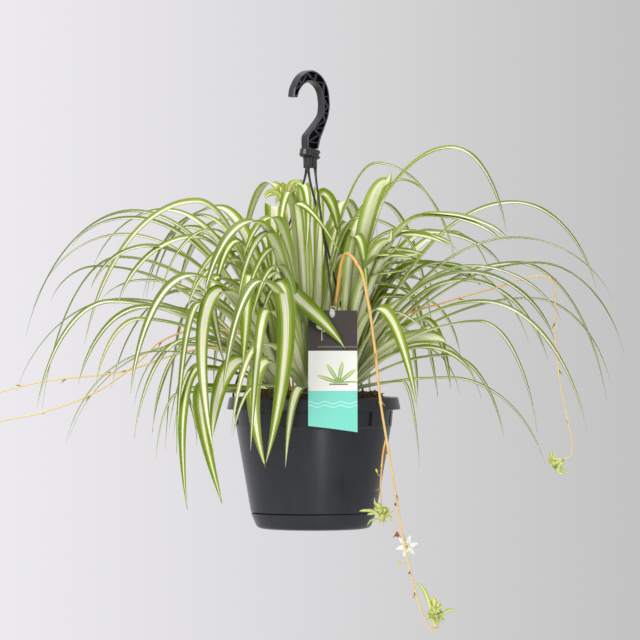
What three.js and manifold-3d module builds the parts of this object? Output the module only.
// A spider plant in a hanging plastic pot, in millimetres, +Z up, +X to the right, -Y towards the viewer.
// The origin is the inner crown of the hook, where the whole thing hangs.
import * as THREE from 'three';
import { mergeVertices } from 'three/addons/utils/BufferGeometryUtils.js';
import Module from 'manifold-3d';

// Driving sizes
const POT_AXIS_X = 5.2;            // the plant pulls the pot a little to one side of the hook
const RIM_TOP_Z = -307.8;          // height of the rim's top below the hook's crown
const RIM_RADIUS = 85;             // a 17 cm pot
const POT_SIDES = 26;
const FIT = 0.4;                   // clearance between pieces that rest against each other

const ARM_AZIMUTHS = [22, 142, 262];
const ARM_TWIST = 60;              // the arms leave the comb turned by this much
const ARM_TOP_RADIUS = 5.1;
const ARM_FOOT_RADIUS = 79.4;
const ARM_ROD = 1.2;
const COMB_CENTRE = [-3.6, 1.9];
const COMB_BOTTOM_Z = 223.8;

const CROWN_RING = 39;             // the crowns stand on this radius in the pot
const CORE_RADIUS = 9;
const CORE_BOTTOM_Z = -14;
const LEAF_BASE_Z = 8;
const LEAF_SEGMENTS = 6;
const PLANTLET_SEGMENTS = 3;
const KEEL = 1.7;                  // how far the midrib stands below the blade's face
const HAIRPIN = 9;                 // even a leaf that folds straight back goes this far on past its top

const wasm = await Module();
wasm.setup();

const radians = (degrees) => THREE.MathUtils.degToRad(degrees);

// Azimuth 0 points at the viewer and 90 to the right.
const outward = (azimuth) => new THREE.Vector3(Math.sin(radians(azimuth)), -Math.cos(radians(azimuth)), 0);

// A repeatable number from 0 to 1 for the i-th thing and its k-th property.
function wobble(i, k) {
  const value = Math.sin(i * 12.9898 + k * 78.233) * 43758.5453;
  return value - Math.floor(value);
}

// Solids

function solidFrom(geometry) {
  const bare = geometry.clone();
  for (const name of Object.keys(bare.attributes)) {
    if (name !== 'position') {
      bare.deleteAttribute(name);
    }
  }
  const merged = mergeVertices(bare, 1e-4);
  const vertProperties = Float32Array.from(merged.attributes.position.array);
  const triVerts = Uint32Array.from(merged.index.array);
  return new wasm.Manifold(new wasm.Mesh({ numProp: 3, vertProperties, triVerts }));
}

// The largest closed shell of a solid: sealed hollows and loose scraps are left out.
function mainBody(solid) {
  const shells = solid.decompose();
  shells.sort((a, b) => b.volume() - a.volume());
  return shells[0];
}

function geometryFrom(solid) {
  const mesh = mainBody(solid).getMesh();
  const geometry = new THREE.BufferGeometry();
  geometry.setAttribute('position', new THREE.BufferAttribute(Float32Array.from(mesh.vertProperties), 3));
  geometry.setIndex(new THREE.BufferAttribute(Uint32Array.from(mesh.triVerts), 1));
  return geometry;
}

const joined = (solids) => solids.reduce((sum, solid) => sum.add(solid));
const cut = (solid, cutters) => cutters.reduce((rest, cutter) => rest.subtract(cutter), solid);

// Shapes

// A closed profile of [radius, height] pairs, turned about the Z axis.
function lathe(profile, sides) {
  const points = profile.map(([radius, height]) => new THREE.Vector2(radius, height));
  points.push(points[0].clone());
  return new THREE.LatheGeometry(points, sides).rotateX(Math.PI / 2);
}

function regularShape(radius, sides) {
  const corners = [];
  for (let i = 0; i < sides; i += 1) {
    const angle = (i / sides) * Math.PI * 2;
    corners.push(new THREE.Vector2(Math.cos(angle) * radius, Math.sin(angle) * radius));
  }
  return new THREE.Shape(corners);
}

function prism(shape, depth) {
  return new THREE.ExtrudeGeometry(shape, { depth, bevelEnabled: false });
}

function cylinder(radius, sides, bottom, top, x, y) {
  return prism(regularShape(radius, sides), top - bottom).translate(x, y, bottom);
}

// A round stem through a list of points.
function stem(points, radius, sides, steps) {
  const places = points.map(([x, y, z]) => new THREE.Vector3(x, y, z));
  const extrudePath = new THREE.CatmullRomCurve3(places, false, 'centripetal');
  return new THREE.ExtrudeGeometry(regularShape(radius, sides), { steps, bevelEnabled: false, extrudePath });
}

function box(width, depth, height) {
  return new THREE.BoxGeometry(width, depth, height);
}

// Leaves

// A leaf's spine: one arc from the root up to the top of the arch, and one from there down to the tip.
function spinePoint(leaf, s) {
  const { top, tip, rise } = leaf;
  const over = Math.max((tip[0] - top[0]) * 0.5, leaf.hairpin);
  const curve = s < rise
    ? new THREE.CubicBezierCurve(
      new THREE.Vector2(0, leaf.root),
      new THREE.Vector2(top[0] * 0.25, leaf.root + (top[1] - leaf.root) * 0.6),
      new THREE.Vector2(top[0] * 0.6, top[1]),
      new THREE.Vector2(top[0], top[1]),
    )
    : new THREE.CubicBezierCurve(
      new THREE.Vector2(top[0], top[1]),
      new THREE.Vector2(top[0] + over, top[1] - leaf.droop),
      new THREE.Vector2(tip[0] - (tip[0] - top[0]) * 0.12, tip[1] + (top[1] - tip[1]) * 0.5),
      new THREE.Vector2(tip[0], tip[1]),
    );
  const t = s < rise ? s / rise : (s - rise) / (1 - rise);
  const [reach, height] = curve.getPoint(t).toArray();
  const fall = Math.max(0, (s - rise) / (1 - rise));
  const side = leaf.bend * s * s + leaf.drift * fall * fall + leaf.bow * 4 * fall * (1 - fall);
  return leaf.foot.clone()
    .addScaledVector(leaf.along, reach)
    .addScaledVector(leaf.across, side)
    .addScaledVector(leaf.sway, 4 * s * (1 - s))
    .add(new THREE.Vector3(0, 0, height));
}

// Narrow at the root, widest a third of the way up, and then a long taper to the tip. A broad leaf stays
// broad further out.
function leafWidth(leaf, s) {
  const blunt = Math.max(2.4, leaf.width / 5);
  return leaf.width * Math.min(1, 0.5 + 1.4 * s) * (1 - s ** blunt) ** 0.95;
}

// A leaf is a keeled blade: each ring has its left edge, its right edge, and the midrib's keel below them.
function leafSolid(leaf, rings = LEAF_SEGMENTS) {
  const positions = [];
  for (let i = 0; i < rings; i += 1) {
    const s = i / rings;
    const centre = spinePoint(leaf, s);
    const ahead = spinePoint(leaf, Math.min(1, s + 0.01));
    const behind = spinePoint(leaf, Math.max(0, s - 0.01));
    const tangent = ahead.sub(behind).normalize();
    const flatSide = leaf.across.clone().addScaledVector(tangent, -leaf.across.dot(tangent)).normalize();
    const flatUp = new THREE.Vector3().crossVectors(tangent, flatSide);
    const turn = radians(leaf.twist) * s;
    const side = flatSide.clone().multiplyScalar(Math.cos(turn)).addScaledVector(flatUp, Math.sin(turn));
    const up = new THREE.Vector3().crossVectors(tangent, side);
    const half = leafWidth(leaf, s) / 2;
    const left = centre.clone().addScaledVector(side, -half);
    const right = centre.clone().addScaledVector(side, half);
    const keel = centre.clone().addScaledVector(up, -KEEL);
    for (const corner of [left, right, keel]) {
      positions.push(...corner.toArray());
    }
  }
  positions.push(...spinePoint(leaf, 1).toArray());
  const tipIndex = rings * 3;
  const faces = [0, 1, 2];
  for (let i = 0; i < rings; i += 1) {
    for (let corner = 0; corner < 3; corner += 1) {
      const here = i * 3 + corner;
      const next = i * 3 + ((corner + 1) % 3);
      if (i === rings - 1) {
        faces.push(here, tipIndex, next);
      } else {
        faces.push(here, here + 3, next + 3, here, next + 3, next);
      }
    }
  }
  const geometry = new THREE.BufferGeometry();
  geometry.setAttribute('position', new THREE.Float32BufferAttribute(positions, 3));
  geometry.setIndex(faces);
  return solidFrom(geometry);
}

// Crowns. Each row is a leaf: [azimuth, reach and height of the top, reach and height of the tip, width].
// A row may go on with how far the fall drifts sideways, how far it bows, a twist of its own, and how much
// more than half of the leaf its rise takes up.
const HERO_LEAVES = {
  front: [
    [333, 65, 113, 83, -61, 20, 1, 19], [307, 61, 119, 72, 31, 18, 4, 6],
    [324, 55, 37, 73, -66, 18, 10, -12],
    [352, 39, 12, 56, -65, 13, -13, -5], [343, 37, 188, 32, 139, 10, 43, 11],
    [343, 17, 207, 27, 131, 13, 6, 7], [322, 22, 200, 40, 132, 13, 0, 0], [330, 39, 98, 41, 41, 11, 12, 7],
    [330, 84, 14, 120, -34, 7],
  ],
  front_right: [
    [72, 124, 128, 213, 75, 10], [68, 137, 94, 242, -30, 12], [62, 140, 75, 201, -32, 11],
    [78, 95, 20, 189, -64, 8], [70, 99, 42, 155, -37, 9], [36, 54, 88, 88, -9, 15, 22, 5],
    [50, 66, 17, 86, -66, 6], [49, 58, 152, 61, 163, 16, 0, 0, -95, 0.36],
    [66, 46, 209, 50, 220, 18, 0, 0, -125, 0.38],
    [67, 79, 60, 101, 53, 15, 0, 0, -190], [32, 24, 158, 31, 104, 14, 10, 3],
    [80, 30, 112, 66, 92, 15, 0, 0, -30], [64, 52, 83, 86, 65, 8, 1, -16],
  ],
  back_right: [
    [105, 55, 214, 109, 135, 9], [88, 161, 191, 242, 105, 10], [96, 163, 157, 260, 94, 9],
    [86, 181, 132, 267, 41, 10], [102, 169, 132, 261, -6, 9], [98, 88, 132, 177, 52, 9],
    [92, 175, 97, 253, 14, 8], [128, 136, 164, 190, 110, 12],
  ],
  back: [
    [150, 110, 196, 214, 60, 14], [160, 84, 150, 128, -20, 14], [172, 130, 176, 226, 30, 14],
    [184, 92, 120, 132, -58, 15], [194, 120, 188, 222, 74, 14], [178, 60, 208, 120, 150, 12],
  ],
  back_left: [
    [256, 153, 184, 262, 58, 12], [236, 103, 181, 169, 98, 11], [246, 168, 178, 232, 150, 11],
    [241, 136, 186, 218, 127, 11], [252, 167, 161, 261, 88, 8], [258, 157, 97, 266, 3, 9],
    [238, 163, 116, 211, 96, 8], [250, 129, 89, 195, 51, 11], [244, 111, 53, 162, -10, 9],
    [254, 94, 51, 214, -42, 7], [234, 119, 169, 174, 97, 12],
  ],
  front_left: [
    [321, 84, 105, 104, -52, 18, 7, -16], [309, 72, 117, 72, 29, 16, 10, -9],
    [326, 54, 39, 86, -38, 18.6, -14, -8],
    [310, 83, 12, 81, -101, 17, 22, -9], [301, 82, 30, 102, -107, 15, 11, -13],
    [294, 82, 31, 103, -38, 7, -5, 2],
    [297, 78, 59, 124, -33, 9, -14, -12], [282, 88, 6, 114, -59, 7, 1, -4],
    [278, 82, 10, 74, -47, 9, 6, 30],
    [344, 29, 187, 38, 114, 19, 2, 1], [307, 50, 153, 72, 95, 13, -9, -2], [272, 80, 192, 189, 52, 14],
    [280, 126, 148, 182, 105, 13], [266, 153, 138, 231, -12, 12], [264, 175, 129, 223, 94, 10],
    [276, 159, 94, 231, -10, 12], [288, 130, 89, 197, 14, 12], [292, 139, 77, 183, 16, 10],
    [296, 121, 46, 222, -42, 7],
  ],
  middle: [
    [82, 140, 244, 194, 160, 13, 0, 0, -12], [84, 66, 229, 142, 135, 8], [204, 112, 214, 186, 110, 13],
    [200, 60, 214, 104, 186, 12], [81, 12, 200, 30, 153, 16, -1, 0, 40], [86, 46, 176, 108, 132, 13],
    [83, 84, 163, 143, 143, 11],
  ],
};

// Leaves that fill a crown out: the same five habits in turn, at sizes and angles that vary.
const FILL_HABITS = [
  [96, 186, 186, 84, 15], [112, 118, 196, -14, 14], [92, 58, 150, -58, 12], [46, 158, 84, 104, 14],
  [84, 84, 112, -66, 14],
];
const CROWNS = [
  { place: 'front', azimuth: 352, fill: 5, from: -27, to: -12, lift: 20, size: 0.84 },
  { place: 'front_right', azimuth: 52, fill: 6, from: -4, to: 26, lift: 70, size: 0.84 },
  { place: 'back_right', azimuth: 112, fill: 9, from: -24, to: 26, lift: 50, size: 0.7 },
  { place: 'back', azimuth: 172, fill: 9, from: -26, to: 26, lift: 10, size: 0.84 },
  { place: 'back_left', azimuth: 232, fill: 8, from: -26, to: 24, lift: 20, size: 0.84 },
  { place: 'front_left', azimuth: 292, fill: 5, from: -24, to: 26, lift: 20, size: 0.84 },
  { place: 'middle', azimuth: 0, fill: 0, from: 0, to: 0, lift: 0, size: 0.84 },
];
const SECTOR = 30;
const FOOT_SPREAD = 5;             // low leaves grow from the outside of a crown and tall ones from its heart
const TALL_LEAF = 220;
const LEAF_BEND = 16;              // sideways curve of a leaf in the middle of its crown
const LEAF_SPREAD = 10;            // the outer leaves of a crown curve away from it by this much
const LEAF_TWIST = 44;
const LIGHT_TURN = 36;             // leaves turn their faces towards the light, which comes from the front

function leafFrom(row, centre, root, crownAzimuth, seed) {
  const [azimuth, topReach, topHeight, tipReach, tipHeight, width] = row;
  const [drift = 0, bow = 0, turn = 0, upright = 0] = row.slice(6);
  const free = row.length > 6 ? 0 : 1;
  const offset = THREE.MathUtils.euclideanModulo(azimuth - crownAzimuth + 180, 360) - 180;
  const room = Math.max(0, 1 - Math.abs(offset) / SECTOR);
  const along = outward(azimuth);
  const home = outward(crownAzimuth);
  const sideways = new THREE.Vector3(-home.y, home.x, 0);
  const foot = centre.clone()
    .addScaledVector(home, FOOT_SPREAD - 2 * FOOT_SPREAD * Math.min(1, topHeight / TALL_LEAF))
    .addScaledVector(sideways, (FOOT_SPREAD * offset) / SECTOR);
  return {
    foot,
    along,
    across: new THREE.Vector3(-along.y, along.x, 0),
    root,
    top: [topReach, topHeight],
    tip: [tipReach, tipHeight],
    width,
    bend: free * (LEAF_BEND * (wobble(seed, 1) - 0.5) * room + (LEAF_SPREAD * offset) / SECTOR),
    drift,
    bow,
    rise: 0.5 + upright,
    hairpin: HAIRPIN * (1 - 2 * upright),
    twist: turn + LIGHT_TURN * Math.sin(radians(azimuth)) + LEAF_TWIST * (wobble(seed, 2) - 0.5),
    sway: new THREE.Vector3(),
    droop: 0,
  };
}

function fillRows(crown, seed) {
  const rows = [];
  for (let i = 0; i < crown.fill; i += 1) {
    const [topReach, topHeight, tipReach, tipHeight, width] = FILL_HABITS[i % FILL_HABITS.length];
    const share = (i * 0.618 + 0.3) % 1;
    const azimuth = crown.azimuth + crown.from + (crown.to - crown.from) * share;
    const size = crown.size + 0.3 * wobble(seed + i, 3);
    const fallen = tipHeight * size + crown.lift;
    rows.push([azimuth, topReach * size, topHeight * size, tipReach * size, fallen, width]);
  }
  return rows;
}

const CORE_PROFILE = [[0, CORE_BOTTOM_Z], [CORE_RADIUS, CORE_BOTTOM_Z], [CORE_RADIUS, 14], [7, 46], [0, 56]];

function crownCentre(crown) {
  return crown.place === 'middle' ? new THREE.Vector3() : outward(crown.azimuth).multiplyScalar(CROWN_RING);
}

function crownGeometry(crown, index) {
  const seed = index * 40;
  const centre = crownCentre(crown);
  const rows = [...HERO_LEAVES[crown.place], ...fillRows(crown, seed)];
  const home = (row) => (crown.place === 'middle' ? row[0] : crown.azimuth);
  const solids = rows.map((row, i) => leafSolid(leafFrom(row, centre, LEAF_BASE_Z, home(row), seed + i)));
  if (crown.place === 'front') {
    solids.push(leafSolid(tagLeaf(centre)));
  }
  const core = solidFrom(lathe(CORE_PROFILE, 6)).translate(centre.toArray());
  return geometryFrom(joined([core, ...solids]));
}

// One leaf of the front crown swings out to the left, folds over and lies slanting across the top of the tag.
const TAG_LEAF = [51, 4, 113, 46, 48, 19];

function tagLeaf(centre) {
  const leaf = leafFrom(TAG_LEAF, centre, LEAF_BASE_Z, TAG_LEAF[0], 0);
  leaf.bend = 0;
  leaf.twist = 80;
  leaf.sway.set(-27, -16, 0);
  leaf.droop = 22;
  return leaf;
}

// Runners and plantlets

const RUNNERS = {
  front: {
    radius: 1.3,
    steps: 36,
    points: [
      [15, -22, -8], [15, -22, 12], [17, -28, 46], [22, -38, 95], [31, -54, 139], [44, -67, 126],
      [52, -75, 95],
      [59, -80, 46], [64, -83, -2], [70, -84, -40], [78, -86, -87], [87, -88, -140], [96, -90, -178],
      [101, -90, -197], [105.5, -90, -208], [109.5, -90.5, -217], [112, -91, -221.4], [114.6, -91, -222.8],
      [116.4, -91, -221.4], [116.6, -91, -219.4],
    ],
  },
  left_low: {
    radius: 1.1,
    steps: 18,
    points: [
      [-27, -2.6, -8], [-27, -2.6, 10], [-36, -1, 36], [-62, 2, 58], [-113, 9.5, 66], [-150, 14.7, 54],
      [-171, 17.6, 35],
      [-211, 23, 6], [-264, 31, -15], [-306, 37, -24], [-319, 38, -27],
    ],
  },
  left_high: {
    radius: 1.1,
    steps: 18,
    points: [
      [-24, 10, -8], [-24, 10, 14], [-36, 11.4, 34], [-60, 15, 44], [-100, 20.5, 48], [-137, 25.6, 41],
      [-175, 31, 28],
      [-201, 34.6, 22], [-264, 43.5, 15], [-306, 49, 5], [-319, 51, 1],
    ],
  },
  right: {
    radius: 1.0,
    steps: 25,
    points: [
      [26, -4, -8], [26, -4, 10], [42, -6, 44], [80, -11, 76], [133, -19, 94], [175, -25, 106],
      [220, -31, 118],
      [232, -33, 113], [234, -33, 96], [235, -33, 50], [240, -34, 8], [247, -35, -26], [250.5, -35, -47],
      [249, -35, -56], [243, -35, -59.5],
    ],
  },
  upright: {
    radius: 1.1,
    steps: 16,
    points: [
      [-20, -26, -8], [-20, -26, 12], [-21.5, -38, 66], [-22.5, -41, 118], [-23, -38, 150], [-27, -31, 188],
    ],
  },
};
const RUNNER_SIDES = 5;
// A side shoot of the front runner carries the second plantlet, and a short stalk carries the flower.
const SIDE_SHOOT = [
  [69.5, -84, -38], [67, -84, -49], [64.7, -84, -72], [64.1, -83, -89], [65.4, -82, -104],
  [66.4, -82, -113],
  [66.4, -82.3, -118], [66.4, -84, -120.8], [66.4, -86.2, -121.2], [66.4, -87.4, -119.8],
  [66.4, -87.5, -118],
];
const FLOWER_STALK = [
  [84.8, -87.5, -129], [86.2, -83.5, -130.5], [87.2, -79.5, -133.5], [88.8, -77.2, -138.5],
  [89.4, -78.5, -141],
];

function runnerGeometry(name) {
  const { points, radius, steps } = RUNNERS[name];
  const main = solidFrom(stem(points, radius, RUNNER_SIDES, steps));
  if (name !== 'front') {
    return geometryFrom(main);
  }
  const shoot = solidFrom(stem(SIDE_SHOOT, 0.9, RUNNER_SIDES, 13));
  const stalk = solidFrom(stem(FLOWER_STALK, 0.6, RUNNER_SIDES, 6));
  return geometryFrom(joined([main, shoot, stalk]));
}

// The plantlets, each with the stem that carries it. The first two stand upright in the crook of their stem.
const PLANTLETS = [
  { name: 'plantlet_front_end', stem: RUNNERS.front.points },
  { name: 'plantlet_front_side', stem: SIDE_SHOOT },
  { name: 'plantlet_left_low', stem: RUNNERS.left_low.points, leaves: 7, length: 22, turn: 0 },
  { name: 'plantlet_left_high', stem: RUNNERS.left_high.points, leaves: 7, length: 20, turn: 30 },
  { name: 'plantlet_right', stem: RUNNERS.right.points, leaves: 6, length: 16, turn: 10 },
  { name: 'plantlet_top', stem: RUNNERS.upright.points, leaves: 7, length: 24, turn: 40 },
];
// The leaves of the two upright ones, as rows like those of a crown.
const PLANTLET_ROWS = {
  plantlet_front_end: [
    [285, 19, 43, 20, 43.3, 5.4, 0, 0, 0, 0.45], [320, 3, 29, 4, 31, 8, 0, 0, 0, 0.4],
    [40, 5, 25, 6, 27, 7.5, 0, 0, 0, 0.4], [85, 12, 17.5, 18.5, 17, 6], [318, 7, 10, 11, 9, 6.5],
    [110, 5, 8, 8.5, 6.5, 6.5], [0, 4, 14, 8, 13, 8], [30, 5, 19, 9, 22, 7, 0, 0, 0, 0.2],
    [335, 5, 20, 8, 22, 7.5, 0, 0, 0, 0.25], [190, 4, 16, 7, 17, 6.5],
  ],
  plantlet_front_side: [
    [308, 8, 17, 10, 23.5, 8.5, 0, 0, 0, 0.3], [272, 12, 11, 22, 10.4, 5.4], [262, 8, 8, 14.5, 6.5, 5],
    [290, 9, 2.5, 15.5, -4, 5], [60, 7, 9, 12, 13, 4, 0, 0, 0, 0.3], [100, 5, 5, 8, -0.5, 4.6],
    [350, 5, 8, 9, 3, 6],
    [320, 6, 12, 12, 12, 6], [20, 4, 14, 6, 16, 5.5, 0, 0, 0, 0.3],
  ],
};
const PLANTLET_FACE = 100;         // how far a young leaf turns its face to the front by its tip
const PLANTLET_HAIRPIN = 1.5;
const PLANTLET_WIDTH = 5.6;
const PLANTLET_CORE = [[0, 0], [1.6, 0.4], [2.6, 2.6], [1.8, 5], [0, 6]];

function hangingRows({ leaves, length, turn }, index) {
  const rows = [];
  for (let i = 0; i < leaves; i += 1) {
    const reach = length * (0.62 + 0.38 * wobble(index + 5, i));
    const lift = 4 + reach * (0.2 + 0.5 * wobble(index + 9, i));
    const azimuth = turn + (i * 360) / leaves + 20 * wobble(index, i);
    rows.push([azimuth, reach * 0.6, lift, reach, lift - reach * 0.3, PLANTLET_WIDTH]);
  }
  return rows;
}

// A plantlet is drawn upright, and then turned to carry on its stem's direction, a hair beyond its end.
function plantletGeometry(plantlet, index) {
  const rows = PLANTLET_ROWS[plantlet.name];
  const [before, end] = plantlet.stem.slice(-2).map((point) => new THREE.Vector3(...point));
  const heading = rows ? new THREE.Vector3(0, 0, 1) : end.clone().sub(before).normalize();
  const solids = [solidFrom(lathe(PLANTLET_CORE, 6))];
  (rows ?? hangingRows(plantlet, index)).forEach((row, i) => {
    const leaf = leafFrom(row, new THREE.Vector3(), 2, row[0], i);
    leaf.foot.set(0, 0, 0);
    leaf.bend = 0;
    leaf.twist = PLANTLET_FACE * Math.sin(radians(row[0]));
    leaf.hairpin = PLANTLET_HAIRPIN;
    solids.push(leafSolid(leaf, PLANTLET_SEGMENTS));
  });
  const geometry = geometryFrom(joined(solids));
  geometry.applyQuaternion(new THREE.Quaternion().setFromUnitVectors(new THREE.Vector3(0, 0, 1), heading));
  const seat = end.addScaledVector(heading, FIT);
  return geometry.translate(seat.x, seat.y, seat.z);
}

// The flower faces the viewer: six pointed petals about a small centre.
const FLOWER_AT = [89.4, -81, -141.2];
const PETAL_LENGTH = 11;
const PETAL_WIDTH = 4;

function flowerGeometry() {
  const heart = solidFrom(new THREE.IcosahedronGeometry(2, 0));
  const petals = [];
  for (let i = 0; i < 6; i += 1) {
    const outline = new THREE.Shape();
    outline.moveTo(0, -PETAL_WIDTH * 0.2);
    outline.lineTo(PETAL_LENGTH * 0.55, -PETAL_WIDTH / 2);
    outline.lineTo(PETAL_LENGTH, 0);
    outline.lineTo(PETAL_LENGTH * 0.55, PETAL_WIDTH / 2);
    outline.lineTo(0, PETAL_WIDTH * 0.2);
    const petal = prism(outline, 0.8).translate(0, 0, -0.4 + (i % 2) * 0.5);
    petals.push(solidFrom(petal.rotateY(radians(12)).rotateZ(radians(i * 60 + 14))));
  }
  return geometryFrom(joined([heart, ...petals]).rotate([90, 0, 0]).translate(FLOWER_AT));
}

// Pot, saucer and soil

const POT_PROFILE = [
  [0, -123.6], [46, -123.6], [47, -125.8], [52, -125.8], [58.4, -112], [61.3, -112], [75.5, -29.3],
  [76.2, -28.2], [77.6, -11], [77.6, -2.4], [81.2, -2.4], [82.8, -11.8], [RIM_RADIUS, -11.8],
  [82.8, -1.2], [82, 0], [75.6, 0], [73.2, -29], [59, -111], [56.4, -113], [50.5, -121.6], [0, -121.6],
];
const SAUCER_PROFILE = [
  [0, -128.1], [50.6, -128.1], [53.4, -127.5], [55.4, -126.2], [56.8, -123.8], [61.3, -112.4],
  [59.6, -112.4], [55.2, -124], [54.2, -125.6], [53, -126.1], [0, -126.1],
];
const RECESS_COUNT = 12;
const RECESS_WIDTH = 5;
const DRAIN_HOLES = 6;
const SLOT = { radius: 79, radial: 4.4, wide: 7.6 };
const SLOT_CUT_HEIGHT = 6;

function potGeometry() {
  const cutters = [];
  for (let i = 0; i < RECESS_COUNT; i += 1) {
    const angle = (i + 0.5) * (360 / RECESS_COUNT);
    const recess = box(RECESS_WIDTH, 4, 13).translate(0, -78.2, -20);
    cutters.push(solidFrom(recess.rotateZ(radians(angle))));
  }
  for (const azimuth of ARM_AZIMUTHS) {
    const slot = box(SLOT.wide, SLOT.radial, SLOT_CUT_HEIGHT).translate(0, -SLOT.radius, 0);
    cutters.push(solidFrom(slot.rotateZ(radians(azimuth))));
  }
  for (let i = 0; i < DRAIN_HOLES; i += 1) {
    const place = outward(i * (360 / DRAIN_HOLES)).multiplyScalar(28);
    cutters.push(solidFrom(cylinder(4, 8, -130, -120, place.x, place.y)));
  }
  return geometryFrom(cut(solidFrom(lathe(POT_PROFILE, POT_SIDES)), cutters));
}

const SOIL_PROFILE = [
  [0, -121.2], [50, -121.2], [55.8, -112.9], [58.4, -110.8], [72.7, -29], [74.4, -6], [66, 0.5],
  [54, 3], [38, 5], [20, 6.4], [0, 7],
];
const SOIL_BUMP = 1.6;
const SOIL_EDGE_Z = -3;

function soilGeometry() {
  const ground = lathe(SOIL_PROFILE, POT_SIDES);
  const position = ground.attributes.position;
  for (let i = 0; i < position.count; i += 1) {
    const x = position.getX(i);
    const y = position.getY(i);
    const z = position.getZ(i);
    const bump = Math.sin(x * 0.31 + 1) * Math.cos(y * 0.27) + Math.sin(x * 0.13 + y * 0.19);
    if (z > SOIL_EDGE_Z) {
      position.setZ(i, z + SOIL_BUMP * bump * 0.5);
    }
  }
  const cutters = CROWNS.map((crown) => {
    const { x, y } = crownCentre(crown);
    return solidFrom(cylinder(CORE_RADIUS + FIT + 0.3, 8, CORE_BOTTOM_Z - FIT, 30, x, y));
  });
  for (const { points, radius } of Object.values(RUNNERS)) {
    const [x, y, z] = points[0];
    cutters.push(solidFrom(cylinder(radius + 0.8, 6, z - FIT, 30, x, y)));
  }
  return geometryFrom(cut(solidFrom(ground), cutters));
}

// Hanger

// The hook lies in an upright plane, turned so that its ribbed side shows. It is drawn in [across, height].
const HOOK_YAW = 50;
const HOOK_THICKNESS = 8;
const HOOK_ARC_Z = -18.5;
const HOOK_ARC = [173, 150, 120, 90, 60, 30, 0];
const HOOK_INNER_TAIL = [[18.5, -25], [16.4, -32], [6.8, -41.5], [-1.9, -49.1], [-6.1, -54], [-6.1, -65]];
const HOOK_OUTER_TAIL = [[27.8, -26.4], [25.6, -34], [22.3, -41], [18.6, -48], [14.6, -55], [11.1, -65]];
const RIB_COUNT = 13;
const POCKET_DEPTH = 3;

function hookArcPoint(degrees, outer) {
  const tipShare = Math.max(0, degrees - 90) / 83;
  const inner = 18.5 + 2.5 * tipShare ** 2;
  const depth = (9.7 + 1.8 * Math.sin(radians(Math.min(degrees, 90)))) * (1 - 0.52 * tipShare);
  const radius = outer ? inner + depth : inner;
  return [radius * Math.cos(radians(degrees)), HOOK_ARC_Z + radius * Math.sin(radians(degrees))];
}

function hookEdge(outer) {
  const arc = HOOK_ARC.map((degrees) => hookArcPoint(degrees, outer));
  const tail = outer ? HOOK_OUTER_TAIL : HOOK_INNER_TAIL;
  return new THREE.SplineCurve([...arc, ...tail].map(([h, z]) => new THREE.Vector2(h, z)));
}

// Turns a prism drawn in the hook's plane upright and into that plane.
function standInHookPlane(geometry) {
  return geometry.rotateX(Math.PI / 2).rotateZ(radians(HOOK_YAW));
}

function hookGeometry() {
  const inner = hookEdge(false);
  const outer = hookEdge(true);
  const outline = new THREE.Shape([...outer.getPoints(19), ...inner.getPoints(19).reverse()]);
  const flat = prism(outline, HOOK_THICKNESS).translate(0, 0, -HOOK_THICKNESS / 2);
  const blade = solidFrom(standInHookPlane(flat));
  // Zigzag ribs stay between three-cornered pockets that are sunk into both sides.
  const across = (t, share) => inner.getPoint(t).lerp(outer.getPoint(t), share);
  const pockets = [];
  for (let i = 0; i < RIB_COUNT; i += 1) {
    const start = 0.03 + (i / RIB_COUNT) * 0.94;
    const step = 0.94 / RIB_COUNT;
    const foot = i % 2 === 0 ? 0.2 : 0.8;
    const corners = [
      across(Math.max(0.02, start - step * 0.2), foot),
      across(Math.min(0.99, start + step * 1.2), foot),
      across(start + step * 0.5, 1 - foot),
    ];
    for (const side of [-1, 1]) {
      const level = side < 0 ? -HOOK_THICKNESS / 2 - 1 : HOOK_THICKNESS / 2 - POCKET_DEPTH;
      const pocket = prism(new THREE.Shape(corners), POCKET_DEPTH + 1).translate(0, 0, level);
      pockets.push(solidFrom(standInHookPlane(pocket)));
    }
  }
  // The collar is a round-edged bar under the hook, and the fluted comb below it splits into the arms.
  const collarShape = new THREE.Shape();
  collarShape.absarc(4.6, 0, 4.6, -Math.PI / 2, Math.PI / 2);
  collarShape.absarc(-4.6, 0, 4.6, Math.PI / 2, Math.PI * 1.5);
  const bevel = { bevelEnabled: true, bevelThickness: 3, bevelSize: 2.6, bevelSegments: 2 };
  const collarOptions = { depth: 3.4, ...bevel };
  const collar = new THREE.ExtrudeGeometry(collarShape, { ...collarOptions, curveSegments: 6 });
  collar.translate(0, 0, -1.7).rotateY(radians(8)).rotateZ(radians(HOOK_YAW));
  const [combX, combY] = [COMB_CENTRE[0] + POT_AXIS_X, COMB_CENTRE[1]];
  const flutes = [];
  for (let i = 0; i < 27; i += 1) {
    const angle = (i / 27) * Math.PI * 2;
    const radius = 6.2 + 0.7 * Math.cos(angle * 9);
    flutes.push(new THREE.Vector2(Math.cos(angle) * radius, Math.sin(angle) * radius));
  }
  const combBottom = COMB_BOTTOM_Z + RIM_TOP_Z;
  const comb = prism(new THREE.Shape(flutes), -66 - combBottom).translate(combX, combY, combBottom);
  const ribbed = cut(blade, pockets);
  return geometryFrom(joined([ribbed, solidFrom(collar.translate(combX, combY, -69.8)), solidFrom(comb)]));
}

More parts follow.
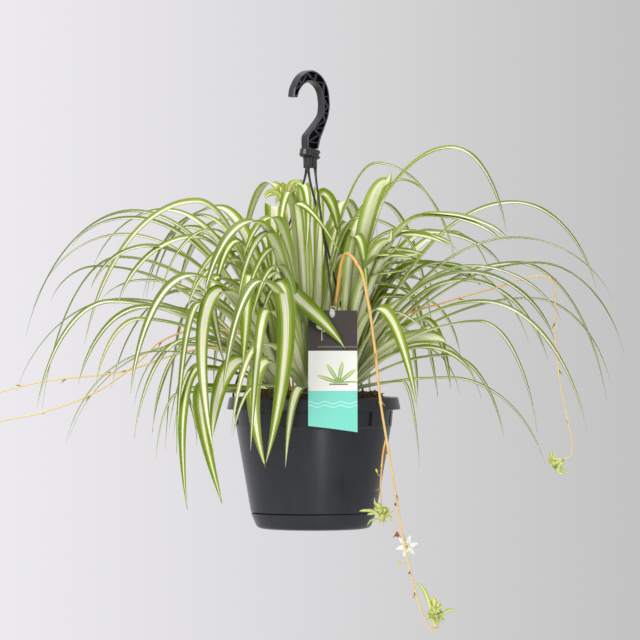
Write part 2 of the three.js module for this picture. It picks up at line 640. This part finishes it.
// An arm leaves the comb straight down, spreads to the rim, and passes through a slot to a foot below it.
function armGeometry(azimuth) {
  const top = outward(azimuth + ARM_TWIST).multiplyScalar(ARM_TOP_RADIUS);
  top.add(new THREE.Vector3(...COMB_CENTRE, 0));
  const foot = outward(azimuth).multiplyScalar(ARM_FOOT_RADIUS);
  const between = (share, z) => {
    const place = top.clone().lerp(foot, share);
    return [place.x, place.y, z];
  };
  const bottom = COMB_BOTTOM_Z;
  const points = [
    between(0, bottom - 0.3), between(0.035, bottom - 12), between(0.34, bottom * 0.66),
    between(0.66, bottom * 0.34), between(0.985, 8), between(1, 3), between(1, -3.6),
  ];
  const rod = solidFrom(stem(points, ARM_ROD, 6, 12));
  const bar = box(9, 2, 1.8).rotateZ(radians(azimuth)).translate(foot.x, foot.y, -3.7);
  return geometryFrom(joined([rod, solidFrom(bar)]));
}

// Tag

const TAG_LEAN = 19;
const TAG_BACK_TOP = [0, -54, 84.7];
const TAG_OUTLINE = [[-5.1, 0], [-5.1, -117], [42, -123.4], [42, -0.6]];
const TAG_THICKNESS = 0.8;
const LOOP_AT = [18.9, -45.2, 85.4];

function tagGeometry() {
  const card = prism(new THREE.Shape(TAG_OUTLINE.map(([x, s]) => new THREE.Vector2(x, s))), TAG_THICKNESS);
  card.rotateX(radians(90 - TAG_LEAN)).translate(...TAG_BACK_TOP);
  const loop = new THREE.Shape();
  loop.absarc(0, 0, 4.6, 0, Math.PI);
  loop.lineTo(-4.6, -9.6);
  loop.lineTo(4.6, -9.6);
  const hole = new THREE.Path();
  hole.absellipse(0, 0, 1.9, 2.4, 0, Math.PI * 2, true);
  loop.holes.push(hole);
  const strap = new THREE.ExtrudeGeometry(loop, { depth: 1, bevelEnabled: false, curveSegments: 6 });
  strap.rotateX(radians(10)).translate(...LOOP_AT);
  return geometryFrom(joined([solidFrom(card), solidFrom(strap)]));
}

// Materials and assembly

function finish(color, roughness, metalness = 0) {
  return new THREE.MeshStandardMaterial({ color, roughness, metalness });
}

const BLACK_PLASTIC = () => finish(0x2b2d30, 0.45);
const ANTHRACITE_PLASTIC = () => finish(0x3b3e41, 0.4);
const LEAF_GREEN = () => finish(0x7f9f45, 0.45);
const RUNNER_ORANGE = () => finish(0xe3a94b, 0.5);

const group = new THREE.Group();
const potted = new THREE.Group();
potted.position.set(POT_AXIS_X, 0, RIM_TOP_Z);
group.add(potted);

function place(parent, name, geometry, material) {
  const mesh = new THREE.Mesh(geometry, material);
  mesh.name = name;
  parent.add(mesh);
}

place(group, 'hook', hookGeometry(), BLACK_PLASTIC());
ARM_AZIMUTHS.forEach((azimuth, i) => {
  const name = ['hanger_arm_front_right', 'hanger_arm_back_right', 'hanger_arm_left'][i];
  place(potted, name, armGeometry(azimuth), BLACK_PLASTIC());
});
place(potted, 'pot', potGeometry(), ANTHRACITE_PLASTIC());
place(potted, 'saucer', geometryFrom(solidFrom(lathe(SAUCER_PROFILE, POT_SIDES))), ANTHRACITE_PLASTIC());
place(potted, 'soil', soilGeometry(), finish(0x4a3728, 0.95));
place(potted, 'tag', tagGeometry(), finish(0x8ce8d5, 0.4));
CROWNS.forEach((crown, i) => place(potted, `crown_${crown.place}`, crownGeometry(crown, i), LEAF_GREEN()));
for (const name of Object.keys(RUNNERS)) {
  place(potted, `runner_${name}`, runnerGeometry(name), RUNNER_ORANGE());
}
PLANTLETS.forEach((plantlet, i) => place(potted, plantlet.name, plantletGeometry(plantlet, i), LEAF_GREEN()));
place(potted, 'flower', flowerGeometry(), finish(0xf4f4ee, 0.5));

export default group;
